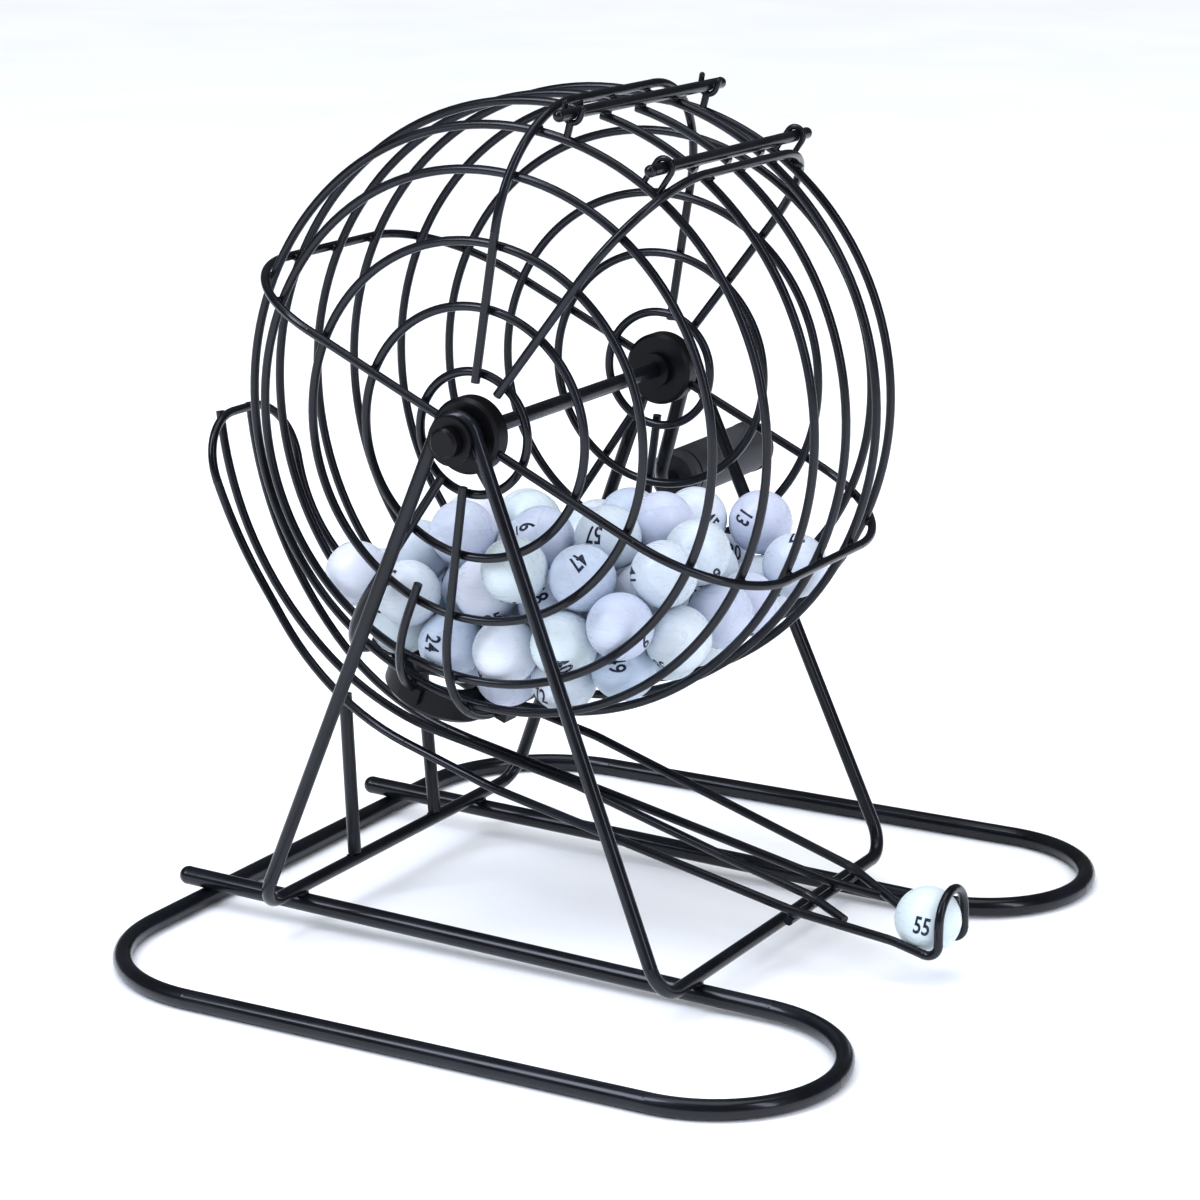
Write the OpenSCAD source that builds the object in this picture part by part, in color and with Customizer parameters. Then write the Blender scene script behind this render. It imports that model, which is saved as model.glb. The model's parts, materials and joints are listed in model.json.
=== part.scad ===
// Tabletop bingo cage: a wire drum on a bent-wire stand, turned by a crank,
// with a ball port, a loading door and a wire chute for the called ball.
// The X axis runs along the axle (+X is the crank side), -Y is the front,
// where the called ball stops, and the origin is on the table under the drum.

/* [Stand] */
// Height of the axle above the table
axle_h = 141; // [139:0.5:144]
// Diameter of the base wire
base_wire_d = 5; // [4.6:0.1:5.4]
// Distance from the centre plane to each outer rail
base_half_w = 109.5; // [105:0.5:113]
// Distance from the centre plane to each inner rail
rail_half_w = 45.6; // [43:0.2:48]
// How far the base reaches in front of the axle
base_front = 115.4; // [112:0.2:119]
// How far the rear bar lies behind the axle
base_rear = 88.5; // [85:0.5:91]
// Bend radius of the base's rear corners
base_corner_r = 40; // [25:1:44]
// Diameter of the leg wire
leg_wire_d = 3.6; // [3.2:0.1:3.8]
// Distance from the centre plane to each foot corner
foot_half_w = 64.9; // [63:0.1:67]
// How far the front feet stand in front of the axle
foot_front = 62.7; // [59:0.1:66]
// How far the rear feet stand behind the axle
foot_rear = 56.6; // [54:0.1:59]

/* [Drum] */
// Diameter of the drum's wires
cage_wire_d = 2.3; // [2.1:0.1:2.4]
// Radius of the drum's middle rings
drum_r = 79.3; // [79:0.1:80]
// Distance from the centre plane to each end face
drum_half_w = 48.3; // [48:0.1:48.5]
// Radius of the rounded edge between barrel and end face
drum_edge_r = 27.3; // [27:0.1:28]
// Radius of the smallest ring on an end face
face_ring_r = 15.6; // [15:0.1:16.5]
// Distance between the rings on an end face
face_ring_pitch = 16.25; // [15.8:0.05:16.5]
// Distance between the barrel's rings
ring_pitch = 17.9; // [17.8:0.1:18.2]

/* [Crank] */
// Diameter of the wire that forms the axle and the crank
axle_d = 4; // [3.6:0.1:4.2]
// Distance from the axle to the middle of the grip
crank_throw = 38; // [32:1:44]
// Angle of the crank at rest, from straight down towards the rear
crank_lean = 15; // [0:1:40]
// Distance from the centre plane to the crank's arm
crank_x = 66; // [65:0.5:70]
// Diameter of the grip
grip_d = 15; // [13:0.5:17]
// Length of the grip
grip_len = 50; // [44:1:56]

/* [Door and port] */
// Angle of the door's hinge rod, from the top towards the front
door_hinge_angle = 34.5; // [34.2:0.1:34.8]
// Angle of the door's latch rod, from the top towards the front
door_latch_angle = 15; // [14.7:0.1:15.3]
// Angle of the ball port, from the top round the front
port_angle = 201; // [200.8:0.1:201.2]
// Outer diameter of the port's rim
port_d = 30; // [28:0.5:30]

/* [Balls and chute] */
// Diameter of a ball
ball_d = 17.2; // [16.8:0.1:17.2]
// Number of balls left in the drum
loose_ball_count = 74; // [20:1:74]
// Diameter of the chute's wires
chute_wire_d = 2.4; // [2.2:0.1:2.4]
// Fall of the chute's rails for each millimetre of run
chute_fall = 0.26; // [0.25:0.005:0.27]

/* [Hidden] */
$fn = 48;
base_r = base_wire_d / 2;
leg_r = leg_wire_d / 2;
wire_r = cage_wire_d / 2;
axle_r = axle_d / 2;
chute_r = chute_wire_d / 2;
ball_r = ball_d / 2;
// Space left at a welded crossing, so that neighbouring wires share no volume
weld_gap = 0.05;
// Radial clearance of a turning fit
run_gap = 0.05;
// How much larger than its wire the sphere between two segments is
joint_swell = 0.04;
// A straight shorter than this is left out of a wire
shortest_straight = 0.02;

// Base: the inner rails climb from the table onto the rear bar
turn_r = (base_half_w - rail_half_w) / 2;
rail_tip = 5.5;
rail_slope = (base_wire_d + weld_gap) / (base_front + base_rear);
function rail_z(y) = base_r + (y + base_front) * rail_slope;

// Legs: both cross-bars lie on the inner rails
foot_lift = base_r + leg_r + weld_gap;
foot_bend_r = 8;
front_foot = [-foot_front, rail_z(-foot_front) + foot_lift];
rear_foot = [foot_rear, rail_z(foot_rear) + foot_lift];
leg_apex_half_w = 55.7;

// Bearings: spools inside the hairpins of the leg wire
bearing_r = 3.8;
bearing_x = 56.6;
groove_w = 4.6;
flange_t = 1;
flange_r = 6.2;
hairpin_gap = 0.12;
hairpin_r = bearing_r + leg_r + hairpin_gap;
bearing_in_x = bearing_x - groove_w / 2 - flange_t;
bearing_out_x = bearing_x + groove_w / 2 + flange_t;
side_play = 0.4;
end_cap_r = 3.9;
end_cap_t = 3;
end_cap_bevel = 0.8;
end_cap_skin = 0.4;
end_cap_grip = 2.5;

// Drum: ribs lie outside the rings
rib_lift = cage_wire_d + weld_gap;
rib_r = drum_r + rib_lift;
rib_x = drum_half_w + rib_lift;
edge_x = drum_half_w - drum_edge_r;
edge_r = drum_r - drum_edge_r;
edge_ring_step = 29;
port_rib_step = 13.5;
cut_end = 1.2;
face_rib_angles = [37.8, 9, port_angle - port_rib_step, port_angle + port_rib_step];
hub_rib_angles = [115, 295];
stub_rib_start = 43;
// Angles at which a barrel ring stops beside the ribs of the door opening
door_open_from = face_rib_angles[1] + cut_end;
door_open_to = face_rib_angles[0] - cut_end;

// Hubs
hub_r = 9.75;
hub_in_x = drum_half_w - 1.4;
hub_out_x = bearing_in_x - side_play;
hub_rim = 0.9;
hub_sleeve = 2;
hub_sleeve_t = 2.6;
rib_depth = 3;

// Door
rod_r = 1.5;
rod_R = drum_r + wire_r + rod_r + weld_gap;
rod_half_len = 42;
bar_over = 0.8;
eye_r = 2.7;
eye_t = 3.4;
clip_w = 5.2;
clip_gap = 0.1;
clip_over = 0.6;
eye_foot_w = 2.6;
foot_sink = 0.4;
door_ring_x = edge_x + drum_edge_r * cos(2 * edge_ring_step);
door_ring_r = edge_r + drum_edge_r * sin(2 * edge_ring_step);

// Port
port_x = -ring_pitch;
port_in_R = drum_r - wire_r + 0.1;
port_t = 7.6;
port_hole_r = ball_r + 0.6;
port_bevel = 1.4;
port_gap_angle = port_rib_step + 2.9;
stub_depth = 2;
arm_w = 6;
arm_t = 4.4;
arm_root = 2.1;
arm_reach = 3.2;
long_arm_R = rib_r - 2.6;
short_arm_R = rib_r - 1.4;

// Grip
grip_start_x = crank_x + 8.5;
crank_bend_r = 6;
grip_end_x = grip_start_x + grip_len;
nut_pocket_r = 4.6;
nut_pocket_t = 4;
nut_r = 3.6;
nut_t = 1.6;
nut_lift = 0.4;
wire_short = 1;
grip_lip = 1.1;
grip_band = 4;
grip_groove_w = 1.2;
grip_groove = 0.7;
grip_waist = 0.2;

// Chute: a closed loop of wire carries two floor wires
chute_rail_0 = 38.9;
function rail_line(y) = chute_rail_0 + chute_fall * y;
loop_top = [21.4, 104.6, 128];
loop_waist = [17.2, 95.4, 96.5];
loop_corner = [22.5, 62.4, rail_line(62.4)];
rail_wide = [27, 8, rail_line(8)];
rail_narrow = [18.5, -75, rail_line(-75)];
rest_x = 8;
rail_rest = [rest_x, -99, 12];
hoop_foot = [rest_x, -111.5, 8.9];
hoop_top = [rest_x, -111.5, 25.5];
floor_gap = 0.1;
floor_sag = 0.2;
post_gap = 0.15;
floor_pinch = chute_r + weld_gap + floor_gap;
floor_wire_path = [
    [7, loop_top[1] + chute_wire_d + floor_gap, loop_top[2] + 0.3],
    [7, 102.4, 90],
    [3, 61.7, 49.3],
    [floor_pinch, 32, 43.1],
    [floor_pinch, -2, 36.4],
    [4.8, -48, 25.4],
    [6.2, -75, rail_line(-75) - floor_sag],
    [10.6, -86.5, 16.2],
];
floor_wire_bends = [0, 100, 75, 40, 40, 30, 12, 0];
tie_y = -75;
tie_z = rail_line(tie_y) - floor_sag - chute_wire_d - weld_gap;
post_foot = [20.4, foot_rear, rear_foot[1] + leg_r + post_gap];
post_top = [19.2, 59.5, 57.5];

// Called ball, resting on the rails behind the hoop
called_y = -105;
called_rail_z = hoop_foot[2] + (called_y - hoop_foot[1]) * (rail_rest[2] - hoop_foot[2])
    / (rail_rest[1] - hoop_foot[1]);
called_rest_slope = atan2(rail_rest[2] - hoop_foot[2], rail_rest[1] - hoop_foot[1]);
called_z = called_rail_z
    + sqrt(pow(ball_r + chute_r, 2) - pow(rest_x, 2)) / cos(called_rest_slope) + weld_gap;

// --- Wire building ---

function unit(v) = v / norm(v);

// Angle by which the wire turns at a corner
function turn(a, b, c) = 180 - acos(max(-1, min(1, unit(a - b) * unit(c - b))));

// Length of straight that a bend takes up on each side of its corner
function setback(a, b, c, bend) = bend * tan(turn(a, b, c) / 2);

// Turns the Z axis into a direction and moves it to a point
module along(point, direction) {
    translate(point)
        rotate([0, acos(direction[2] / norm(direction)), atan2(direction[1], direction[0])])
            children();
}

// Straight wire between two points
module rod(a, b, r) {
    along(a, b - a) cylinder(h = norm(b - a), r = r);
}

// Bend at corner b on the way from a to c
module bend_arc(a, b, c, bend, r) {
    u = unit(a - b);
    v = unit(c - b);
    angle = turn(a, b, c);
    centre = b + unit(u + v) * bend / cos(angle / 2);
    e = unit(b + u * setback(a, b, c, bend) - centre);
    n = cross(e, -u);
    multmatrix([
        [e[0], -u[0], n[0], centre[0]],
        [e[1], -u[1], n[1], centre[1]],
        [e[2], -u[2], n[2], centre[2]],
    ])
        rotate_extrude(angle = angle) translate([bend, 0]) circle(r = r);
}

// Wire along a list of corners, each with its own bend radius
module wire(corners, bends, r, closed = false) {
    n = len(corners);
    function at(i) = corners[(i + n) % n];
    function cut(i) = !closed && (i == 0 || i == n - 1)
        ? 0 : setback(at(i - 1), at(i), at(i + 1), bends[(i + n) % n]);
    for (i = [0 : n - (closed ? 1 : 2)]) {
        way = unit(at(i + 1) - at(i));
        start = at(i) + way * cut(i);
        straight = norm(at(i + 1) - at(i)) - cut(i) - cut(i + 1);
        along(start, way) {
            if (straight > shortest_straight) cylinder(h = straight, r = r);
            if (closed || i > 0) sphere(r = r + joint_swell);
            if (closed || i < n - 2) translate([0, 0, straight]) sphere(r = r + joint_swell);
        }
    }
    for (i = [closed ? 0 : 1 : n - (closed ? 1 : 2)])
        bend_arc(at(i - 1), at(i), at(i + 1), bends[i], r);
}

function mirrored(p) = [-p[0], p[1], p[2]];
function reversed(list) = [for (i = [len(list) - 1 : -1 : 0]) list[i]];

// Moves the drum's own frame, with the axle through its origin, into place
module on_axle() {
    translate([0, 0, axle_h]) children();
}

// Ring or arc of a ring around the axle, between two angles from the top
module drum_ring(x, r, from = 0, to = 360, w = wire_r) {
    on_axle() translate([x, 0, 0]) rotate([from + 180, 0, 0]) rotate([0, 90, 0])
        rotate_extrude(angle = to - from) translate([r, 0]) circle(r = w);
}

// --- Stand ---

module base_wire() {
    half = [
        [rail_half_w, base_rear + rail_tip, rail_z(base_rear + rail_tip)],
        [rail_half_w, -base_front, base_r],
        [base_half_w, -base_front, base_r],
        [base_half_w, base_rear, base_r],
    ];
    half_bends = [0, turn_r, turn_r, base_corner_r];
    color("#1b1d20") {
        wire(
            concat([for (p = half) mirrored(p)], reversed(half)),
            concat(half_bends, reversed(half_bends)), base_r
        );
        for (side = [-1, 1])
            translate([side * half[0][0], half[0][1], half[0][2]]) sphere(r = base_r + joint_swell);
    }
}

// Direction from a foot to the side of the hairpin that its leg touches
function leg_angle(foot, side) =
    atan2(axle_h - foot[1], -foot[0])
    + side * asin(hairpin_r / norm([foot[0], axle_h - foot[1]]));

// Point above the axle where the lines of the front and rear legs meet
function leg_apex() =
    let (
        a = leg_angle(front_foot, 1),
        b = leg_angle(rear_foot, -1),
        gap = rear_foot - front_foot,
        s = (gap[0] * sin(b) - gap[1] * cos(b)) / sin(b - a)
    )
    front_foot + s * [cos(a), sin(a)];

module leg_frame() {
    apex = leg_apex();
    half = [
        [foot_half_w, front_foot[0], front_foot[1]],
        [leg_apex_half_w, apex[0], apex[1]],
        [foot_half_w, rear_foot[0], rear_foot[1]],
    ];
    half_bends = [foot_bend_r, hairpin_r, foot_bend_r];
    color("#1b1d20")
        wire(
            concat(half, reversed([for (p = half) mirrored(p)])),
            concat(half_bends, reversed(half_bends)), leg_r, closed = true
        );
}

module bearing(side) {
    color("#141416")
        on_axle() rotate([0, side * 90, 0])
            rotate_extrude()
                polygon([
                    [axle_r + run_gap, bearing_in_x],
                    [flange_r, bearing_in_x],
                    [flange_r, bearing_in_x + flange_t],
                    [bearing_r, bearing_in_x + flange_t],
                    [bearing_r, bearing_out_x - flange_t],
                    [flange_r, bearing_out_x - flange_t],
                    [flange_r, bearing_out_x],
                    [axle_r + run_gap, bearing_out_x],
                ]);
}

// --- Chute ---

module chute_rail() {
    half = [
        loop_top, loop_waist, loop_corner, rail_wide, rail_narrow, rail_rest, hoop_foot, hoop_top,
    ];
    half_bends = [15, 60, 80, 25, 12, 10, 3.2, 7.9];
    color("#1b1d20")
        wire(
            concat(half, reversed([for (p = half) mirrored(p)])),
            concat(half_bends, reversed(half_bends)), chute_r, closed = true
        );
}

module chute_floor(side) {
    color("#1b1d20")
        wire(
            side > 0 ? floor_wire_path : [for (p = floor_wire_path) mirrored(p)],
            floor_wire_bends, chute_r
        );
}

module chute_tie() {
    reach = rail_narrow[0] + chute_r;
    color("#1b1d20") rod([-reach, tie_y, tie_z], [reach, tie_y, tie_z], chute_r);
}

module chute_post(side) {
    color("#1b1d20")
        rod(side > 0 ? post_foot : mirrored(post_foot), side > 0 ? post_top : mirrored(post_top), leg_r);
}

// --- Axle, hubs and crank ---

module crank_axle() {
    low = axle_h - crank_throw * cos(crank_lean);
    rear = crank_throw * sin(crank_lean);
    corners = [
        [-bearing_out_x - side_play - end_cap_grip, 0, axle_h],
        [crank_x, 0, axle_h],
        [crank_x, rear, low],
        [grip_end_x - wire_short, rear, low],
    ];
    color("#1b1d20") wire(corners, [0, crank_bend_r, crank_bend_r, 0], axle_r);
}

module axle_end_cap() {
    start = bearing_out_x + side_play;
    color("#141416")
        on_axle() rotate([0, -90, 0])
            rotate_extrude()
                polygon([
                    [axle_r + run_gap, start],
                    [end_cap_r, start],
                    [end_cap_r, start + end_cap_t - end_cap_bevel],
                    [end_cap_r - end_cap_bevel, start + end_cap_t],
                    [0, start + end_cap_t],
                    [0, start + end_cap_t - end_cap_skin],
                    [axle_r + run_gap, start + end_cap_t - end_cap_skin],
                ]);
}

module hub(side) {
    color("#141416")
        on_axle() difference() {
            rotate([0, side * 90, 0])
                rotate_extrude()
                    polygon([
                        [axle_r + run_gap, hub_in_x - hub_sleeve],
                        [axle_r + hub_sleeve_t, hub_in_x - hub_sleeve],
                        [axle_r + hub_sleeve_t, hub_in_x],
                        [hub_r - hub_rim, hub_in_x],
                        [hub_r, hub_in_x + hub_rim],
                        [hub_r, hub_out_x - hub_rim],
                        [hub_r - hub_rim, hub_out_x],
                        [axle_r + run_gap, hub_out_x],
                    ]);
            for (angle = hub_rib_angles)
                rotate([angle, 0, 0]) translate([side * rib_x, 0, hub_r - rib_depth])
                    cylinder(h = rib_depth + 1, r = wire_r + run_gap);
        }
}

// --- Drum rings and ribs ---

module face_ring(side, k) {
    color("#1b1d20") drum_ring(side * drum_half_w, face_ring_r + (k - 1) * face_ring_pitch);
}

module edge_ring(side, k) {
    angle = k * edge_ring_step;
    color("#1b1d20")
        drum_ring(side * (edge_x + drum_edge_r * cos(angle)), edge_r + drum_edge_r * sin(angle));
}

module barrel_ring(x, from, to) {
    color("#1b1d20") drum_ring(x, drum_r, from, to);
}

// Rib from the near end face over the barrel to the far one
module rib(angle, start) {
    profile = [
        [-rib_x, 0, start],
        [-rib_x, 0, rib_r],
        [rib_x, 0, rib_r],
        [rib_x, 0, start],
    ];
    rib_bend = drum_edge_r + rib_lift;
    color("#1b1d20")
        on_axle() rotate([angle, 0, 0]) wire(profile, [0, rib_bend, rib_bend, 0], wire_r);
}

// Short rib from an end face to the port, in the plane of the port's angle.
// One whose bend reaches the port before it is level ends part of the way round.
module stub_wire(side, r) {
    bend = drum_edge_r + rib_lift;
    end_x = side * port_x + port_d / 2 - stub_depth;
    cut_short = max(0, end_x - edge_x);
    stub_turn = 90 - asin(cut_short / bend);
    corner = [rib_x, 0, edge_r + bend * tan(stub_turn / 2)];
    run = bend * tan(stub_turn / 2) + (cut_short > 0 ? stub_depth : edge_x - end_x);
    profile = [
        [rib_x, 0, stub_rib_start],
        corner,
        corner + run * [-sin(stub_turn), 0, cos(stub_turn)],
    ];
    wire([for (p = profile) [side * p[0], p[1], p[2]]], [0, bend, 0], r);
}

module port_stub(side) {
    color("#1b1d20") on_axle() rotate([port_angle, 0, 0]) stub_wire(side, wire_r);
}

// Rim with a ball-sized hole and four arms that grip the wires around it
module ball_port() {
    arm_start = port_d / 2 - arm_root;
    arm_len = rib_r * sin(port_rib_step) + arm_reach - arm_start;
    color("#141416")
        on_axle() rotate([port_angle, 0, 0]) difference() {
            union() {
                translate([port_x, 0, port_in_R])
                    rotate_extrude()
                        polygon([
                            [port_hole_r, 0],
                            [port_d / 2, 0],
                            [port_d / 2, port_t - port_bevel],
                            [port_d / 2 - port_bevel, port_t],
                            [port_hole_r + port_bevel, port_t],
                            [port_hole_r, port_t - port_bevel],
                        ]);
                for (side = [-1, 1]) {
                    translate([port_x, side * (arm_start + arm_len / 2), long_arm_R])
                        cube([arm_w, arm_len, arm_t], center = true);
                    translate([port_x + side * port_d / 2, 0, short_arm_R])
                        cube([2 * arm_root, arm_w, arm_t], center = true);
                }
            }
            for (angle = [face_rib_angles[2], face_rib_angles[3]])
                rotate([angle - port_angle, 0, 0])
                    translate([port_x - arm_w, 0, rib_r]) rotate([0, 90, 0])
                        cylinder(h = 2 * arm_w, r = wire_r + run_gap);
            for (side = [-1, 1]) stub_wire(side, wire_r + run_gap);
            rotate([0, 90, 0]) rotate_extrude() translate([drum_r, 0]) circle(r = wire_r + run_gap);
        }
}

// --- Door ---

// Ring-shaped space around a shoulder ring, for parts that sit on it
module shoulder_groove(side) {
    translate([side * door_ring_x, 0, 0]) rotate([0, 90, 0])
        rotate_extrude() translate([door_ring_r, 0]) circle(r = wire_r + weld_gap);
}

module hinge_eye(side) {
    foot_z = door_ring_r - foot_sink;
    color("#1b1d20")
        on_axle() rotate([door_hinge_angle, 0, 0]) difference() {
            union() {
                translate([side * door_ring_x - eye_t / 2, 0, rod_R]) rotate([0, 90, 0])
                    cylinder(h = eye_t, r = eye_r);
                translate([side * door_ring_x - eye_t / 2, -eye_foot_w / 2, foot_z])
                    cube([eye_t, eye_foot_w, rod_R - foot_z]);
            }
            shoulder_groove(side);
            translate([side * door_ring_x - eye_t, 0, rod_R]) rotate([0, 90, 0])
                cylinder(h = 2 * eye_t, r = rod_r + run_gap);
        }
}

// Open cradle that the latch rod snaps into
module latch_clip(side) {
    foot_z = door_ring_r - foot_sink;
    color("#1b1d20")
        on_axle() rotate([door_latch_angle, 0, 0]) difference() {
            translate([side * door_ring_x - eye_t / 2, -clip_w / 2, foot_z])
                cube([eye_t, clip_w, rod_R + clip_over - foot_z]);
            shoulder_groove(side);
            translate([side * door_ring_x - eye_t, 0, rod_R]) rotate([0, 90, 0])
                cylinder(h = 2 * eye_t, r = rod_r + clip_gap);
            translate([side * door_ring_x - eye_t, -rod_r - clip_gap, rod_R])
                cube([2 * eye_t, 2 * (rod_r + clip_gap), eye_r]);
        }
}

module door_rod(angle) {
    color("#1b1d20")
        on_axle() rotate([angle, 0, 0]) {
            rod([-rod_half_len, 0, rod_R], [rod_half_len, 0, rod_R], rod_r);
            for (side = [-1, 1])
                translate([side * rod_half_len, 0, rod_R]) sphere(r = rod_r + joint_swell);
        }
}

module door_bar(x) {
    color("#1b1d20")
        drum_ring(x, drum_r, door_latch_angle - bar_over, door_hinge_angle + bar_over);
}

// --- Grip ---

module grip() {
    outer = grip_d / 2;
    inset = grip_band + grip_groove_w;
    color("#26272a")
        on_axle() rotate([0, 90, 0])
            translate([crank_throw * cos(crank_lean), crank_throw * sin(crank_lean), grip_start_x])
                rotate_extrude()
                    polygon([
                        [axle_r + run_gap, 0],
                        [outer - grip_lip, 0],
                        [outer, grip_lip],
                        [outer, grip_band],
                        [outer - grip_groove, grip_band],
                        [outer - grip_groove, inset],
                        [outer - grip_waist, inset],
                        [outer - grip_waist, grip_len - inset],
                        [outer - grip_groove, grip_len - inset],
                        [outer - grip_groove, grip_len - grip_band],
                        [outer, grip_len - grip_band],
                        [outer, grip_len - grip_lip],
                        [outer - grip_lip, grip_len],
                        [nut_pocket_r, grip_len],
                        [nut_pocket_r, grip_len - nut_pocket_t],
                        [axle_r + run_gap, grip_len - nut_pocket_t],
                    ]);
}

// Push nut that keeps the grip on its wire
module grip_nut() {
    color("#5a5d62")
        on_axle() rotate([0, 90, 0])
            translate([
                crank_throw * cos(crank_lean), crank_throw * sin(crank_lean),
                grip_end_x - nut_pocket_t + nut_lift,
            ])
                difference() {
                    cylinder(h = nut_t, r = nut_r);
                    translate([0, 0, -1]) cylinder(h = nut_t + 2, r = axle_r + run_gap);
                }
}

// --- Balls ---

// Settles the balls: each round lets them sink, pushes overlapping pairs apart
// and moves strays back inside the drum
settle_d = ball_d + 0.16;
settle_rounds = 230;
sink_rounds = 170;
sink_start = 0.9;
settle_seed = 7;
settle_margin = 0.12;

function sink(round) = round < sink_rounds ? sink_start * (1 - round / sink_rounds) : 0;

function push(p, q) =
    let (d = p - q, gap = norm(d))
    gap >= settle_d || gap < 0.001 ? [0, 0, 0] : d * (0.5 * (settle_d - gap) / gap);

function sum(list, i = 0) = i < len(list) ? list[i] + sum(list, i + 1) : [0, 0, 0];

// Nearest point to p, in the drum's frame, at which a ball's centre is inside
function kept_in(p) =
    let (
        margin = wire_r + settle_d / 2 + settle_margin,
        r = norm([p[1], p[2]]),
        x = abs(p[0]),
        in_edge = x > edge_x && r > edge_r,
        reach = drum_edge_r - margin,
        over = norm([x - edge_x, r - edge_r]),
        k = in_edge && over > reach ? reach / over : 1,
        new_x = in_edge ? edge_x + (x - edge_x) * k : min(x, drum_half_w - margin),
        new_r = in_edge ? edge_r + (r - edge_r) * k : min(r, drum_r - margin)
    )
    [sign(p[0]) * new_x, p[1] * new_r / r, p[2] * new_r / r];

function settle_once(balls, drop) = [
    for (p = balls)
        kept_in(p + [0, 0, -drop] + sum([for (q = balls) if (abs(p[2] - q[2]) < settle_d) push(p, q)])),
];

function settle(balls, round = 0) =
    round == settle_rounds ? balls : settle(settle_once(balls, sink(round)), round + 1);

// Start: loose layers on a square grid, each ball nudged off its place
start_pitch = 18.6;
start_columns = 4;
start_rows = 5;
start_low = -52;
start_nudge = 2.4;

function start_balls() =
    let (nudge = rands(-start_nudge, start_nudge, 3 * loose_ball_count, settle_seed))
    [
        for (i = [0 : loose_ball_count - 1])
            let (
                layer = floor(i / (start_columns * start_rows)),
                in_layer = i % (start_columns * start_rows),
                column = in_layer % start_columns,
                row = floor(in_layer / start_columns)
            )
            [
                (column - (start_columns - 1) / 2) * start_pitch + nudge[3 * i],
                (row - (start_rows - 1) / 2) * start_pitch + nudge[3 * i + 1],
                start_low + layer * start_pitch + nudge[3 * i + 2],
            ],
    ];

module loose_balls() {
    color("#dcdde4") on_axle() for (p = settle(start_balls())) translate(p) sphere(r = ball_r);
}

module called_ball() {
    color("#dcdde4") translate([0, called_y, called_z]) sphere(r = ball_r);
}

// --- Parts ---

base_wire();
leg_frame();
bearing(-1);  // left_bearing
bearing(1);  // right_bearing
chute_rail();
chute_floor(-1);  // chute_floor_left
chute_floor(1);  // chute_floor_right
chute_tie();
chute_post(-1);  // chute_post_left
chute_post(1);  // chute_post_right
loose_balls();
crank_axle();
axle_end_cap();
hub(-1);  // left_hub
hub(1);  // right_hub
face_ring(-1, 1);  // left_face_ring_1
face_ring(-1, 2);  // left_face_ring_2
face_ring(-1, 3);  // left_face_ring_3
edge_ring(-1, 1);  // left_edge_ring
edge_ring(-1, 2);  // left_shoulder_ring
barrel_ring(port_x, door_open_to, port_angle - port_gap_angle);  // left_barrel_ring_front
barrel_ring(port_x, port_angle + port_gap_angle, 360 + door_open_from);  // left_barrel_ring_rear
barrel_ring(0, door_open_to, 360 + door_open_from);  // middle_barrel_ring
barrel_ring(ring_pitch, door_open_to, 360 + door_open_from);  // right_barrel_ring
edge_ring(1, 2);  // right_shoulder_ring
edge_ring(1, 1);  // right_edge_ring
face_ring(1, 3);  // right_face_ring_3
face_ring(1, 2);  // right_face_ring_2
face_ring(1, 1);  // right_face_ring_1
rib(hub_rib_angles[0], hub_r - rib_depth + 0.2);  // hub_rib_front
rib(hub_rib_angles[1], hub_r - rib_depth + 0.2);  // hub_rib_rear
rib(face_rib_angles[0], face_ring_r - 2);  // door_rib_lower
rib(face_rib_angles[1], face_ring_r - 2);  // door_rib_upper
rib(face_rib_angles[2], face_ring_r - 2);  // port_rib_lower
rib(face_rib_angles[3], face_ring_r - 2);  // port_rib_upper
port_stub(-1);  // port_stub_left
port_stub(1);  // port_stub_right
ball_port();
hinge_eye(-1);  // hinge_eye_left
hinge_eye(1);  // hinge_eye_right
latch_clip(-1);  // latch_clip_left
latch_clip(1);  // latch_clip_right
door_rod(door_hinge_angle);  // door_hinge_rod
door_rod(door_latch_angle);  // door_latch_rod
door_bar(-ring_pitch);  // door_bar_left
door_bar(0);  // door_bar_middle
door_bar(ring_pitch);  // door_bar_right
grip();
grip_nut();
called_ball();
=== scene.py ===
"""The looks of a wire bingo cage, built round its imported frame. Lengths are in metres."""

import itertools
import json
import math
import random

import bmesh
import bpy
import numpy as np
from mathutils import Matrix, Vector
from mathutils.bvhtree import BVHTree


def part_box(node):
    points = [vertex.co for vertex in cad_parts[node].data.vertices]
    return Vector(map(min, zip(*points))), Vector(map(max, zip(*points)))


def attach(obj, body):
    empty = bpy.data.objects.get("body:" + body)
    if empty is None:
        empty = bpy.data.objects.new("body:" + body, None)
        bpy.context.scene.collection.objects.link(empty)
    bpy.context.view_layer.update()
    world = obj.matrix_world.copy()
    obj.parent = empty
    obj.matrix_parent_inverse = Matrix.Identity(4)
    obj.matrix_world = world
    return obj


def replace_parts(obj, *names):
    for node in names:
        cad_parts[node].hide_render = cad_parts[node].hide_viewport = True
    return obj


MM = 0.001
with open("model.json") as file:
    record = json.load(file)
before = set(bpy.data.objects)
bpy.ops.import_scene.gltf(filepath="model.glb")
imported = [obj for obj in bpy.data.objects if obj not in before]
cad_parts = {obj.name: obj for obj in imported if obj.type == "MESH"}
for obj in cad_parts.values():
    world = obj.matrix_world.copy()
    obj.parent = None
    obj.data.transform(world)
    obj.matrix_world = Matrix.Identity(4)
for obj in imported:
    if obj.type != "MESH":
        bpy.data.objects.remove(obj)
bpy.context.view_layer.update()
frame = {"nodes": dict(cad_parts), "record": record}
scene = bpy.context.scene
slot_of = {part["node"]: part["material_slot"] for part in frame["record"]["subparts"]}
body_of = {
    node: body
    for body, members in frame["record"]["behaviour"]["bodies"].items()
    for node in members
}

# ---------------------------------------------------------------- materials

WHITE = (1.0, 1.0, 1.0, 1.0)


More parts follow.
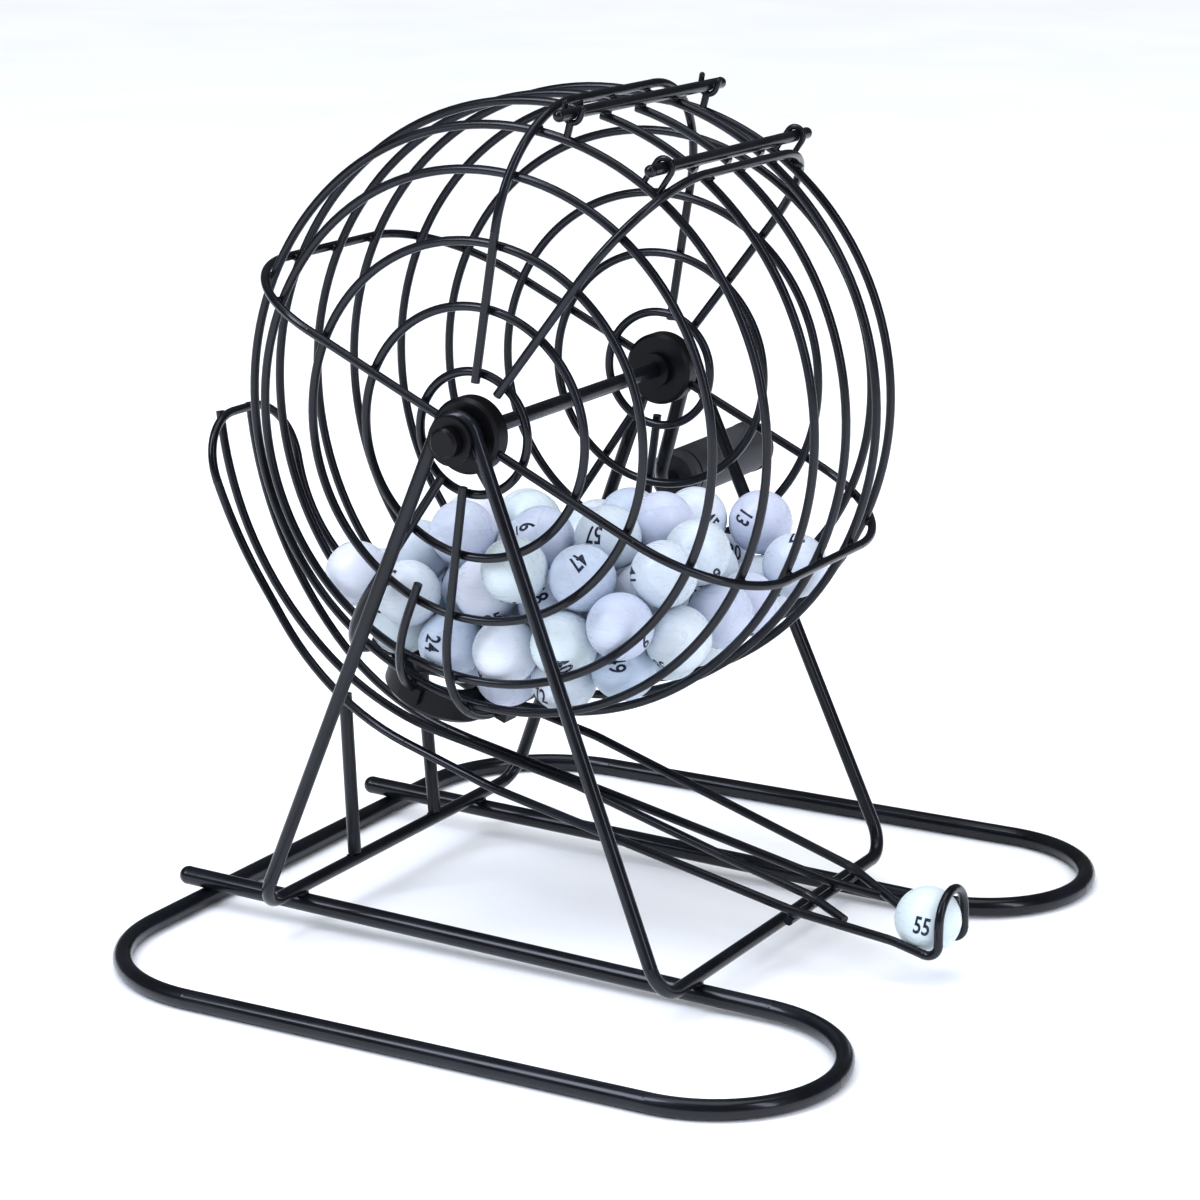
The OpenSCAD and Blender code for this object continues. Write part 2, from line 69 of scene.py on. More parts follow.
class Finish:
    """A material under construction, with short calls for its nodes."""

    def __init__(self, name):
        self.material = bpy.data.materials.new(name)
        self.material.use_nodes = True
        tree = self.material.node_tree
        self.nodes, self.links = tree.nodes, tree.links
        self.nodes.clear()
        self.shader = self.nodes.new("ShaderNodeBsdfPrincipled")
        output = self.nodes.new("ShaderNodeOutputMaterial")
        self.links.new(self.shader.outputs["BSDF"], output.inputs["Surface"])
        self.place = self.nodes.new("ShaderNodeTexCoord").outputs["Object"]

    def feed(self, socket, value):
        """Links an output to a socket, or sets the socket to a plain value."""
        if isinstance(value, bpy.types.NodeSocket):
            self.links.new(value, socket)
        else:
            socket.default_value = value

    def surface(self, **values):
        """Sets inputs of the surface shader; an underscore stands for a space."""
        for name, value in values.items():
            self.feed(self.shader.inputs[name.replace("_", " ")], value)

    def noise(self, scale, detail=2.0, stretch=None):
        """Noise from 0 to 1 with features of about 1 / scale metres."""
        node = self.nodes.new("ShaderNodeTexNoise")
        node.inputs["Scale"].default_value = scale
        node.inputs["Detail"].default_value = detail
        if stretch:
            mapping = self.nodes.new("ShaderNodeMapping")
            mapping.inputs["Scale"].default_value = stretch
            self.links.new(self.place, mapping.inputs["Vector"])
            self.links.new(mapping.outputs["Vector"], node.inputs["Vector"])
        else:
            self.links.new(self.place, node.inputs["Vector"])
        return node.outputs["Fac"]

    def cells(self, scale):
        """Distance from the nearest of many scattered points, in cells of 1 / scale metres."""
        node = self.nodes.new("ShaderNodeTexVoronoi")
        node.inputs["Scale"].default_value = scale
        self.links.new(self.place, node.inputs["Vector"])
        return node.outputs["Distance"]

    def attribute(self, name):
        node = self.nodes.new("ShaderNodeAttribute")
        node.attribute_name = name
        return node.outputs["Fac"]

    def height(self):
        """The height of a point above the table."""
        node = self.nodes.new("ShaderNodeSeparateXYZ")
        self.links.new(self.place, node.inputs["Vector"])
        return node.outputs["Z"]

    def levels(self, value, low, high, to_low=0.0, to_high=1.0):
        """Maps low..high to to_low..to_high, clamped."""
        node = self.nodes.new("ShaderNodeMapRange")
        names = ("Value", "From Min", "From Max", "To Min", "To Max")
        for name, setting in zip(names, (value, low, high, to_low, to_high)):
            self.feed(node.inputs[name], setting)
        return node.outputs["Result"]

    def maths(self, operation, a, b):
        node = self.nodes.new("ShaderNodeMath")
        node.operation = operation
        self.feed(node.inputs[0], a)
        self.feed(node.inputs[1], b)
        return node.outputs["Value"]

    def mix(self, share, a, b):
        """Colour a where share is 0 and b where it is 1."""
        node = self.nodes.new("ShaderNodeMix")
        node.data_type = "RGBA"
        self.feed(node.inputs["Factor"], share)
        self.feed(node.inputs["A"], a)
        self.feed(node.inputs["B"], b)
        return node.outputs["Result"]

    def ramp(self, value, *stops):
        """A colour ramp; each stop is (position, colour)."""
        node = self.nodes.new("ShaderNodeValToRGB")
        elements = node.color_ramp.elements
        while len(elements) < len(stops):
            elements.new(0.5)
        for element, (position, colour) in zip(elements, stops):
            element.position, element.color = position, colour
        self.links.new(value, node.inputs["Fac"])
        return node.outputs["Color"]

    def relief(self, *layers):
        """Bumps the surface; each layer is (height from 0 to 1, depth in metres)."""
        normal = None
        for value, depth in layers:
            node = self.nodes.new("ShaderNodeBump")
            node.inputs["Distance"].default_value = depth
            self.feed(node.inputs["Height"], value)
            if normal:
                self.links.new(normal, node.inputs["Normal"])
            normal = node.outputs["Normal"]
        self.links.new(normal, self.shader.inputs["Normal"])


ENAMEL_THICK = (0.004, 0.005, 0.0075, 1)
ENAMEL_THIN = (0.008, 0.010, 0.015, 1)
ENAMEL_SCUFF = (0.06, 0.06, 0.062, 1)


def black_enamel(name, scuff_top=None, coat=0.5):
    """Stoved black enamel on wire: faint orange peel, thin and thick patches, fine dust nibs.

    Below the height scuff_top it is scuffed by the table.
    """
    finish = Finish(name)
    patches = finish.noise(70, detail=3)
    peel = finish.noise(620)
    grain = finish.noise(4200)
    nibs = finish.levels(finish.cells(420), 0.02, 0.16, 1, 0)
    colour = finish.mix(finish.levels(patches, 0.35, 0.65), ENAMEL_THICK, ENAMEL_THIN)
    roughness = finish.maths(
        "ADD",
        finish.levels(patches, 0.3, 0.7, 0.26, 0.36),
        finish.levels(grain, 0.3, 0.7, 0, 0.07),
    )
    if scuff_top:
        low = finish.levels(finish.height(), scuff_top * 0.35, scuff_top, 1, 0)
        broken = finish.levels(finish.noise(900, detail=4), 0.45, 0.6)
        scuff = finish.maths("MULTIPLY", low, broken)
        colour = finish.mix(scuff, colour, ENAMEL_SCUFF)
        roughness = finish.maths("ADD", roughness, finish.maths("MULTIPLY", scuff, 0.3))
    finish.surface(
        Base_Color=colour,
        Roughness=roughness,
        IOR=1.45,
        Specular_IOR_Level=0.3,
        Coat_Weight=coat,
        Coat_Roughness=0.12,
    )
    finish.relief((peel, 0.030 * MM), (grain, 0.0022 * MM), (nibs, 0.02 * MM))
    return finish.material


def moulded_black(name, colour, rough, grain_depth, sheen_patches=0.05):
    """Moulded plastic with a spark-eroded grain, slight flow marks and handling shine."""
    finish = Finish(name)
    grain = finish.noise(3000, detail=3)
    pits = finish.cells(2600)
    flow = finish.noise(55, detail=3, stretch=(1, 1, 2.5))
    dark = tuple(0.8 * c for c in colour) + (1,)
    light = tuple(1.5 * c for c in colour) + (1,)
    finish.surface(
        Base_Color=finish.mix(finish.levels(flow, 0.35, 0.65), dark, light),
        Roughness=finish.maths(
            "ADD",
            finish.levels(flow, 0.3, 0.7, rough - sheen_patches, rough + sheen_patches),
            finish.levels(grain, 0.3, 0.7, 0, 0.08),
        ),
        IOR=1.49,
        Specular_IOR_Level=0.32,
    )
    finish.relief((grain, grain_depth), (pits, grain_depth * 0.7))
    return finish.material


def ball_plastic(name):
    """Pearly white plastic of hollow balls: light enters it a little, each has its own tint."""
    finish = Finish(name)
    cloud = finish.noise(130, detail=3)
    scratches = finish.noise(900, detail=4, stretch=(1, 0.15, 1))
    grain = finish.noise(2600)
    own = finish.ramp(
        finish.attribute("tint"),
        (0.0, (0.48, 0.57, 0.68, 1)),
        (0.3, (0.54, 0.58, 0.71, 1)),
        (0.6, (0.57, 0.66, 0.69, 1)),
        (1.0, (0.64, 0.67, 0.76, 1)),
    )
    milky = finish.mix(0.3, own, WHITE)
    finish.surface(
        Base_Color=finish.mix(finish.levels(cloud, 0.35, 0.65, 0, 0.2), own, milky),
        Roughness=finish.levels(scratches, 0.3, 0.7, 0.24, 0.36),
        IOR=1.5,
        Subsurface_Weight=0.25,
        Subsurface_Radius=(1.0, 0.95, 0.9),
        Subsurface_Scale=0.9 * MM,
    )
    finish.relief((cloud, 0.010 * MM), (grain, 0.0012 * MM), (scratches, 0.0025 * MM))
    return finish.material


def ink(name):
    """Pad-printed blue-black ink, thinner in places, with a slightly grainy edge."""
    finish = Finish(name)
    cover = finish.levels(finish.noise(1500, detail=4), 0.36, 0.52)
    finish.surface(
        Base_Color=finish.mix(cover, (0.05, 0.06, 0.11, 1), (0.008, 0.011, 0.028, 1)),
        Roughness=finish.levels(finish.noise(3200), 0.3, 0.7, 0.34, 0.5),
        IOR=1.48,
    )
    finish.relief((finish.noise(2600, detail=3), 0.006 * MM))
    return finish.material


def plated_steel(name):
    """Zinc-plated pressed steel with fine turning lines round the X axis."""
    finish = Finish(name)
    lines = finish.noise(1400, detail=4, stretch=(6, 1, 1))
    bloom = finish.noise(300, detail=3)
    finish.surface(
        Base_Color=finish.mix(
            finish.levels(bloom, 0.35, 0.65), (0.50, 0.51, 0.53, 1), (0.66, 0.66, 0.65, 1)
        ),
        Metallic=1.0,
        Roughness=finish.maths(
            "ADD",
            finish.levels(bloom, 0.3, 0.7, 0.2, 0.34),
            finish.levels(lines, 0.3, 0.7, 0, 0.1),
        ),
    )
    finish.relief((lines, 0.008 * MM))
    return finish.material


def paper_floor(name):
    """Pale, matt studio paper."""
    finish = Finish(name)
    finish.surface(
        Base_Color=finish.mix(
            finish.levels(finish.noise(6), 0.35, 0.65),
            (0.83, 0.85, 0.88, 1),
            (0.86, 0.875, 0.895, 1),
        ),
        Roughness=0.75,
        Specular_IOR_Level=0.25,
    )
    finish.relief((finish.noise(1800, detail=3), 0.02 * MM))
    return finish.material


enamel = black_enamel("wire_enamel")
finish_of_slot = {
    "black_wire": enamel,
    "black_plastic": moulded_black("black_moulding", (0.004, 0.004, 0.005), 0.34, 0.008 * MM),
    "grip_plastic": moulded_black("grip_moulding", (0.034, 0.035, 0.040), 0.50, 0.012 * MM),
    "ball_plastic": ball_plastic("ball_moulding"),
    "plated_nut": plated_steel("nut_plating"),
}
finish_of_node = {
    "base_wire": black_enamel("base_enamel", scuff_top=0.5 * MM),
}
for node, cad in frame["nodes"].items():
    material = finish_of_node.get(node, finish_of_slot[slot_of[node]])
    for place in range(len(cad.data.materials)):
        cad.data.materials[place] = material


# ---------------------------------------------------------------- mesh helpers


def coordinates(mesh):
    points = np.zeros(len(mesh.vertices) * 3, np.float32)
    mesh.vertices.foreach_get("co", points)
    return points.reshape(-1, 3).astype(float)


def unit(vector):
    vector = np.asarray(vector, float)
    return vector / np.linalg.norm(vector)


def across(axis):
    """Two unit vectors that are square to axis and to each other."""
    axis = unit(axis)
    helper = np.eye(3)[np.argmin(np.abs(axis))]
    first = unit(np.cross(axis, helper))
    return first, np.cross(axis, first)


def round_shell_faces(rows, around):
    """Faces of a closed shell: its points are one end, rows of points around, the other end."""
    last = 1 + rows * around
    faces = [(0, 1 + (k + 1) % around, 1 + k) for k in range(around)]
    for low in range(1, last - around, around):
        high = low + around
        for k in range(around):
            after = (k + 1) % around
            faces.append((low + k, low + after, high + after, high + k))
    top = last - around
    faces += [(top + k, top + (k + 1) % around, last) for k in range(around)]
    return faces


class Pile:
    """Collects closed shells and makes them one object."""

    def __init__(self):
        self.points, self.faces, self.values, self.count = [], [], [], 0

    def add(self, points, faces, value=0.0):
        points = np.asarray(points, float)
        self.points.append(points)
        self.faces.extend([tuple(i + self.count for i in face) for face in faces])
        self.values.append(np.full(len(points), value))
        self.count += len(points)

    def build(self, name, material, body, slot, attribute=None):
        mesh = bpy.data.meshes.new(name)
        mesh.from_pydata(np.concatenate(self.points).tolist(), [], self.faces)
        mesh.validate()
        mesh.polygons.foreach_set("use_smooth", [True] * len(mesh.polygons))
        if attribute:
            layer = mesh.attributes.new(attribute, "FLOAT", "POINT")
            layer.data.foreach_set("value", np.concatenate(self.values).astype(np.float32))
        mesh.materials.append(material)
        piece = bpy.data.objects.new(name, mesh)
        scene.collection.objects.link(piece)
        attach(piece, body)
        return piece


# ---------------------------------------------------------------- balls

ball_r = (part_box("called_ball")[1].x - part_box("called_ball")[0].x) / 2
ball_segments = 48
recess_r = 0.075  # half-angle of the gate recess at each pole, radians
recess_depth = 0.09 * MM
seam_lip = 0.03 * MM
seam_depth = 0.08 * MM
gate_dip = 0.3 * recess_depth  # depth of the gate's stub at the pole
plain_from, plain_to, plain_rows = 0.16, 1.48, 12  # the smooth part, in radians from the pole
same_point = 0.002 * MM  # corners of the CAD mesh this close together are one point


def ball_profile():
    """Half of the outline from the gate to the seam: (angle from the pole, radius)."""
    gate = [
        (0.35 * recess_r, -gate_dip),
        (0.5 * recess_r, -recess_depth),
        (0.85 * recess_r, -recess_depth),
        (1.05 * recess_r, 0),
    ]
    plain = [(angle, 0) for angle in np.linspace(plain_from, plain_to, plain_rows)]
    seam = [(1.535, 0), (1.549, seam_lip), (1.5615, 0.6 * seam_lip)]
    return [(angle, ball_r + lift) for angle, lift in gate + plain + seam]


def ball_shell():
    """The outside of a moulded ball: two halves with a fine seam, a gate mark at each pole."""
    half = ball_profile()
    seam = [(math.pi / 2, ball_r - seam_depth)]
    rows = half + seam + [(math.pi - angle, r) for angle, r in half[::-1]]
    turn = np.linspace(0, 2 * math.pi, ball_segments, endpoint=False)
    points = [(0, 0, ball_r - gate_dip)]
    for angle, r in rows:
        wide, high = r * math.sin(angle), r * math.cos(angle)
        points += [(wide * math.cos(t), wide * math.sin(t), high) for t in turn]
    points.append((0, 0, -ball_r + gate_dip))
    last, n = len(points) - 1, ball_segments
    faces = [(0, 1 + k, 1 + (k + 1) % n) for k in range(n)]
    for row in range(len(rows) - 1):
        a, b = 1 + row * n, 1 + (row + 1) * n
        faces += [(a + k, b + k, b + (k + 1) % n, a + (k + 1) % n) for k in range(n)]
    a = 1 + (len(rows) - 1) * n
    faces += [(a + k, last, a + (k + 1) % n) for k in range(n)]
    return np.array(points), faces


def separate_centres(node):
    """The centres of the separate spheres in a CAD node."""
    mesh = frame["nodes"][node].data
    points = coordinates(mesh)
    rounded = np.round(points / same_point).astype(np.int64)
    same = np.unique(rounded, axis=0, return_inverse=True)[1].ravel()
    edges = np.zeros(len(mesh.edges) * 2, np.int32)
    mesh.edges.foreach_get("vertices", edges)
    edges = same[edges.reshape(-1, 2)]
    label = np.arange(same.max() + 1)
    while True:
        lowest = label.copy()
        np.minimum.at(lowest, edges[:, 0], label[edges[:, 1]])
        np.minimum.at(lowest, edges[:, 1], label[edges[:, 0]])
        lowest = lowest[lowest]
        if (lowest == label).all():
            break
        label = lowest
    owner = label[same]
    centres = []
    for part in np.unique(owner):
        own = points[owner == part]
        rows = np.hstack([2 * own, np.ones((len(own), 1))])
        answer = np.linalg.lstsq(rows, (own**2).sum(1), rcond=None)[0]
        centres.append(answer[:3])
    return sorted(centres, key=lambda c: (round(c[2], 5), round(c[0], 5), round(c[1], 5)))


digit_height = 4.7 * MM
digit_squeeze = 0.70  # the print is condensed
digit_bolden = 0.018
ink_top, ink_root = 0.025 * MM, 0.06 * MM
print_grid = 0.9 * MM  # the print is cut along a grid this fine, so that it bends with the ball
print_cuts = 5  # grid lines on each side of the middle
underlined_numbers = {6, 9}  # read upside down as each other, so a line marks their foot
line_half, line_low, line_high = 1.3 * MM, -3.5 * MM, -3.0 * MM


def flat_number(number):
    """A number as small flat triangles, its middle at the origin: points, faces, open edges."""
    curve = bpy.data.curves.new("number", "FONT")
    curve.body = str(number)
    curve.align_x = "CENTER"
    curve.resolution_u = 4
    curve.offset = digit_bolden
    writing = bpy.data.objects.new("number", curve)
    scene.collection.objects.link(writing)
    evaluated = writing.evaluated_get(bpy.context.evaluated_depsgraph_get())
    mesh = bpy.data.meshes.new_from_object(evaluated)
    bpy.data.objects.remove(writing)
    bpy.data.curves.remove(curve)
    work = bmesh.new()
    work.from_mesh(mesh)
    bpy.data.meshes.remove(mesh)
    low = min(v.co.y for v in work.verts)
    high = max(v.co.y for v in work.verts)
    scale = digit_height / (high - low)
    middle = (min(v.co.x for v in work.verts) + max(v.co.x for v in work.verts)) / 2
    for v in work.verts:
        x, y = v.co.x - middle, v.co.y - (low + high) / 2
        v.co = Vector((x * scale * digit_squeeze, y * scale, 0))
    if number in underlined_numbers:
        line = [
            (-line_half, line_low, 0),
            (line_half, line_low, 0),
            (line_half, line_high, 0),
            (-line_half, line_high, 0),
        ]
        work.faces.new([work.verts.new(corner) for corner in line])
    bmesh.ops.remove_doubles(work, verts=work.verts, dist=0.005 * MM)
    for square in (Vector((1, 0, 0)), Vector((0, 1, 0))):
        for step in range(-print_cuts, print_cuts + 1):
            bmesh.ops.bisect_plane(
                work,
                geom=work.verts[:] + work.edges[:] + work.faces[:],
                plane_co=square * step * print_grid,
                plane_no=square,
            )
    bmesh.ops.triangulate(work, faces=work.faces)
    for face in work.faces:
        if face.normal.z < 0:
            face.normal_flip()
    work.verts.index_update()
    points = np.array([v.co.to_tuple() for v in work.verts])
    faces = [tuple(v.index for v in f.verts) for f in work.faces]
    rim = [
        (loop.vert.index, loop.link_loop_next.vert.index)
        for f in work.faces
        for loop in f.loops
        if len(loop.edge.link_faces) == 1
    ]
    work.free()
    return points, faces, rim


def wrapped_number(number, centre, outward, up):
    """A number printed on a ball: a thin closed solid bent over the sphere."""
    flat, faces, rim = flat_number(number)
    outward = unit(outward)
    up = unit(np.asarray(up) - np.dot(up, outward) * outward)
    right = np.cross(up, outward)
    distance = np.hypot(flat[:, 0], flat[:, 1])
    safe = np.where(distance > 1e-9, distance, 1)
    way = (flat[:, :1] * right + flat[:, 1:2] * up) / safe[:, None]
    angle = (distance / ball_r)[:, None]
    radial = outward * np.cos(angle) + way * np.sin(angle)
    top = centre + radial * (ball_r + ink_top)
    root = centre + radial * (ball_r - ink_root)
    n = len(flat)
    shell = list(faces) + [tuple(i + n for i in face[::-1]) for face in faces]
    shell += [(a, a + n, b + n, b) for a, b in rim]
    return np.vstack([top, root]), shell


def random_turn(draw):
    """A rotation matrix drawn evenly from all directions."""
    axes = np.array([[draw.gauss(0, 1) for _ in range(3)] for _ in range(3)])
    turned, _ = np.linalg.qr(axes)
    return turned * np.sign(np.linalg.det(turned))


shell_points, shell_faces = ball_shell()
draw = random.Random(75)
called_number = 55
other_numbers = [n for n in range(1, 76) if n != called_number]
draw.shuffle(other_numbers)
balls, prints = Pile(), Pile()
for number, centre in zip(other_numbers, separate_centres("loose_balls")):
    turned = random_turn(draw)
    balls.add(shell_points @ turned.T + centre, shell_faces, draw.random())
    facing = random_turn(draw)
    prints.add(*wrapped_number(number, centre, facing[:, 0], facing[:, 1]))
moulding = finish_of_slot["ball_plastic"]
printing_ink = ink("printing_ink")
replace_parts(balls.build("ball_pile", moulding, "stand", "ball_plastic", "tint"), "loose_balls")
prints.build("ball_pile_numbers", printing_ink, "stand", "ball_plastic")

# ---------------------------------------------------------------- camera axes

camera_azimuth, camera_elevation = math.radians(-60.5), math.radians(14.9)
camera_target = np.array([0, -8.8 * MM, 88.1 * MM])
camera_distance = 0.895
back = np.array(
    [
        math.sin(camera_azimuth) * math.cos(camera_elevation),
        -math.cos(camera_azimuth) * math.cos(camera_elevation),
        math.sin(camera_elevation),
    ]
)
side = unit(np.cross([0, 0, 1], back))
head = np.cross(back, side)

# The called ball faces the camera, its number a little to the left, low, and leaning right.
called_tint = 0.62
called_centre = separate_centres("called_ball")[0]
lean = math.radians(13)
number_left, number_low = 0.3, 0.13
number_middle = back - number_left * side - number_low * head
number_up = math.cos(lean) * head + math.sin(lean) * side
called, called_print = Pile(), Pile()
called.add(shell_points @ random_turn(draw).T + called_centre, shell_faces, called_tint)
called_print.add(*wrapped_number(called_number, called_centre, number_middle, number_up))
shell = called.build("called_ball_shell", moulding, "called_ball", "ball_plastic", "tint")
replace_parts(shell, "called_ball")
called_print.build("called_ball_number", printing_ink, "called_ball", "ball_plastic")

# ---------------------------------------------------------------- welds

weld_reach = 0.25 * MM
weld_apart = 3.0 * MM
weld_web = 0.85 * MM  # distance between two wires at which the weld's fillet ends
weld_longest = 1.7 * MM
weld_sides = 20
weld_dome = 0.12 * MM
weld_wire_r = 1.15 * MM  # wire for which weld_web is meant
weld_spread = 0.15  # share by which the web varies from weld to weld
weld_shrink, weld_shrinks = 0.96, 24  # the fillet shrinks in steps until its edge reaches the web
weld_ripples = ((2, 0.05), (5, 0.03))  # lobes of the edge and their share of its radius
weld_outline = (
    (0.86, -1.25),
    (1.0, -1.0),
    (0.93, -0.55),
    (0.9, 0.0),
    (0.93, 0.55),
    (1.0, 1.0),
    (0.86, 1.25),
)  # (width, height from one wire at -1 to the other at 1)
search_cell = 2.0 * MM
cell_span = 1000  # more cells than the object has along any axis
cell_places = np.array([cell_span**2, cell_span, 1])
sample_step = 0.5 * MM
run_reach = 1.0 * MM


class Wire:
    """The surface of one wire, ready for closest-point searches."""

    def __init__(self, node):
        mesh = frame["nodes"][node].data
        corners = coordinates(mesh)
        mesh.calc_loop_triangles()
        triangles = np.zeros(len(mesh.loop_triangles) * 3, np.int32)
        mesh.loop_triangles.foreach_get("vertices", triangles)
        self.tree = BVHTree.FromPolygons(corners.tolist(), triangles.reshape(-1, 3).tolist())
        edges = np.zeros(len(mesh.edges) * 2, np.int32)
        mesh.edges.foreach_get("vertices", edges)
        start, end = corners[edges[::2]], corners[edges[1::2]]
        lengths = np.linalg.norm(end - start, axis=1)
        steps = np.ceil(lengths / sample_step).astype(int).clip(1)
        share = np.concatenate([np.arange(s) / s for s in steps])[:, None]
        self.points = np.repeat(start, steps, 0) * (1 - share) + np.repeat(end, steps, 0) * share
        self.cells = self.numbered(np.floor(self.points / search_cell).astype(np.int64))

    @staticmethod
    def numbered(cells):
        """One whole number for each cell."""
        return (cells + cell_span // 2) @ cell_places

    def near(self, other):
        """This wire's sample points in cells that the other wire passes through or beside."""
        step = np.array(list(itertools.product((-1, 0, 1), repeat=3))) @ cell_places
        taken = np.unique((np.unique(other.cells)[:, None] + step).ravel())
        return self.points[np.isin(self.cells, taken)]

    def run(self, spot):
        """The wire's direction and radius beside a spot on its surface."""
        hits = self.tree.find_nearest_range(Vector(spot), run_reach)
        places = np.array([hit[0] for hit in hits])
        normals = np.array([hit[1] for hit in hits])
        along = np.linalg.svd(normals)[2][2]
        u, v = across(along)
        rows, values = [], []
        for axis, pick in ((u, (1, 0)), (v, (0, 1))):
            ones = np.tile(pick, (len(hits), 1))
            rows.append(np.hstack([ones, (normals @ axis)[:, None]]))
            values.append(places @ axis)
        radius = np.linalg.lstsq(np.vstack(rows), np.concatenate(values), rcond=None)[0][2]
        return along, abs(float(radius))


def touching_spots(a, b):
    """Where two wires touch: (middle of the contact, direction from a to b)."""
    found = []
    for point in a.near(b):
        spot, _, _, distance = b.tree.find_nearest(Vector(point), weld_reach)
        if spot is not None:
            found.append((distance, point, np.array(spot)))
    found.sort(key=lambda item: item[0])
    spots = []
    while found:
        first = found[0]
        group = [f for f in found if np.linalg.norm(f[1] - first[1]) < weld_apart]
        found = [f for f in found if np.linalg.norm(f[1] - first[1]) >= weld_apart]
        weights = np.array([weld_reach * 1.02 - f[0] for f in group]) ** 2
        middle = sum(w * (f[1] + f[2]) / 2 for w, f in zip(weights, group)) / weights.sum()
        gap = sum(w * (f[2] - f[1]) for w, f in zip(weights, group))
        if np.linalg.norm(gap) > 0:
            spots.append((middle, unit(gap)))
    return spots


def weld_fillet(a, b, middle, outward, draw):
    """The metal and enamel in the crevice where two wires cross: a closed, waisted shell."""
    run_a, radius_a = a.run(middle)
    run_b, radius_b = b.run(middle)
    first, second = across(outward)
    turn = np.linspace(0, 2 * math.pi, weld_sides, endpoint=False)
    way = np.outer(np.cos(turn), first) + np.outer(np.sin(turn), second)
    flat_a = unit(run_a - np.dot(run_a, outward) * outward)
    flat_b = unit(run_b - np.dot(run_b, outward) * outward)
    slant_a = np.sqrt((1 - (way @ flat_a) ** 2).clip(0))
    slant_b = np.sqrt((1 - (way @ flat_b) ** 2).clip(0))

    def fall(distance, slant, radius):
        return radius - np.sqrt((radius**2 - (distance * slant) ** 2).clip((0.15 * radius) ** 2))

    reach = np.full(weld_sides, weld_longest)
    web = weld_web * draw.uniform(1 - weld_spread, 1 + weld_spread)
    web *= math.sqrt(min(radius_a, radius_b) / weld_wire_r)
    for _ in range(weld_shrinks):
        gap = fall(reach, slant_a, radius_a) + fall(reach, slant_b, radius_b)
        reach = np.where(gap > web, reach * weld_shrink, reach)
    swell = 1
    for lobes, size in weld_ripples:
        swell = swell + size * np.sin(lobes * turn + draw.uniform(0, 2 * math.pi))
    reach = reach * swell
    below, above = -fall(reach, slant_a, radius_a), fall(reach, slant_b, radius_b)
    points = [middle + outward * (below.mean() - weld_dome)]
    for width, share in weld_outline:
        level = (below + above) / 2 + share * (above - below) / 2
        points += list(middle + way * (reach * width)[:, None] + level[:, None] * outward)
    points.append(middle + outward * (above.mean() + weld_dome))
    return points, round_shell_faces(len(weld_outline), weld_sides)


# The axle is held by the hubs, and the eyes and clips are replaced by bent wires further down.
unwelded = ("crank_axle", "hinge_eye", "latch_clip")
weld_enamel = black_enamel("weld_enamel", coat=0.4)
wires = {
    node: Wire(node)
    for node in sorted(frame["nodes"])
    if slot_of[node] == "black_wire" and not node.startswith(unwelded)
}
for body in ("stand", "cage", "door"):
    members = [node for node in sorted(wires) if body_of[node] == body]
    welds = Pile()
    for i, a in enumerate(members):
        for b in members[i + 1 :]:
            for middle, outward in touching_spots(wires[a], wires[b]):
                welds.add(*weld_fillet(wires[a], wires[b], middle, outward, draw))
    welds.build(body + "_welds", weld_enamel, body, "black_wire")

# ---------------------------------------------------------------- holders of the door's rods

holder_r = 0.75 * MM
tube_sides = 14
post_r = 0.95 * MM
tube_dome = ((0.45, 0.89), (0.8, 0.6), (0.97, 0.25))  # (width, depth) of a wire's end, in radii
rod_gap = 0.06 * MM
ring_bite = 0.3  # how far a holder's foot goes into the ring's wire, in wire radii
lip_rise = 1.3  # height of the cradle's arms, in rod radii
arm_splay = 0.25  # how far they spread, in wire radii


def tube(path, radius):
    """A round wire along a fine path, with domed ends: points and faces of a closed shell."""
    path = np.asarray(path, float)
    ways = np.gradient(path, axis=0)
    ways = ways / np.linalg.norm(ways, axis=1)[:, None]
    turn = np.linspace(0, 2 * math.pi, tube_sides, endpoint=False)[:, None]
    right, _ = across(ways[0])
    rings = []
    for point, way in zip(path, ways):
        right = unit(right - np.dot(right, way) * way)
        rings.append((point, way, right, np.cross(way, right)))
    rows = [(rings[0], wide, -deep) for wide, deep in tube_dome]
    rows += [(ring, 1.0, 0.0) for ring in rings]
    rows += [(rings[-1], wide, deep) for wide, deep in tube_dome[::-1]]
    points = [path[0] - ways[0] * radius]
    for (point, way, right, up), wide, deep in rows:
        circle = np.cos(turn) * right + np.sin(turn) * up
        points += list(point + way * radius * deep + radius * wide * circle)
    points.append(path[-1] + ways[-1] * radius)
    return points, round_shell_faces(len(rows), tube_sides)


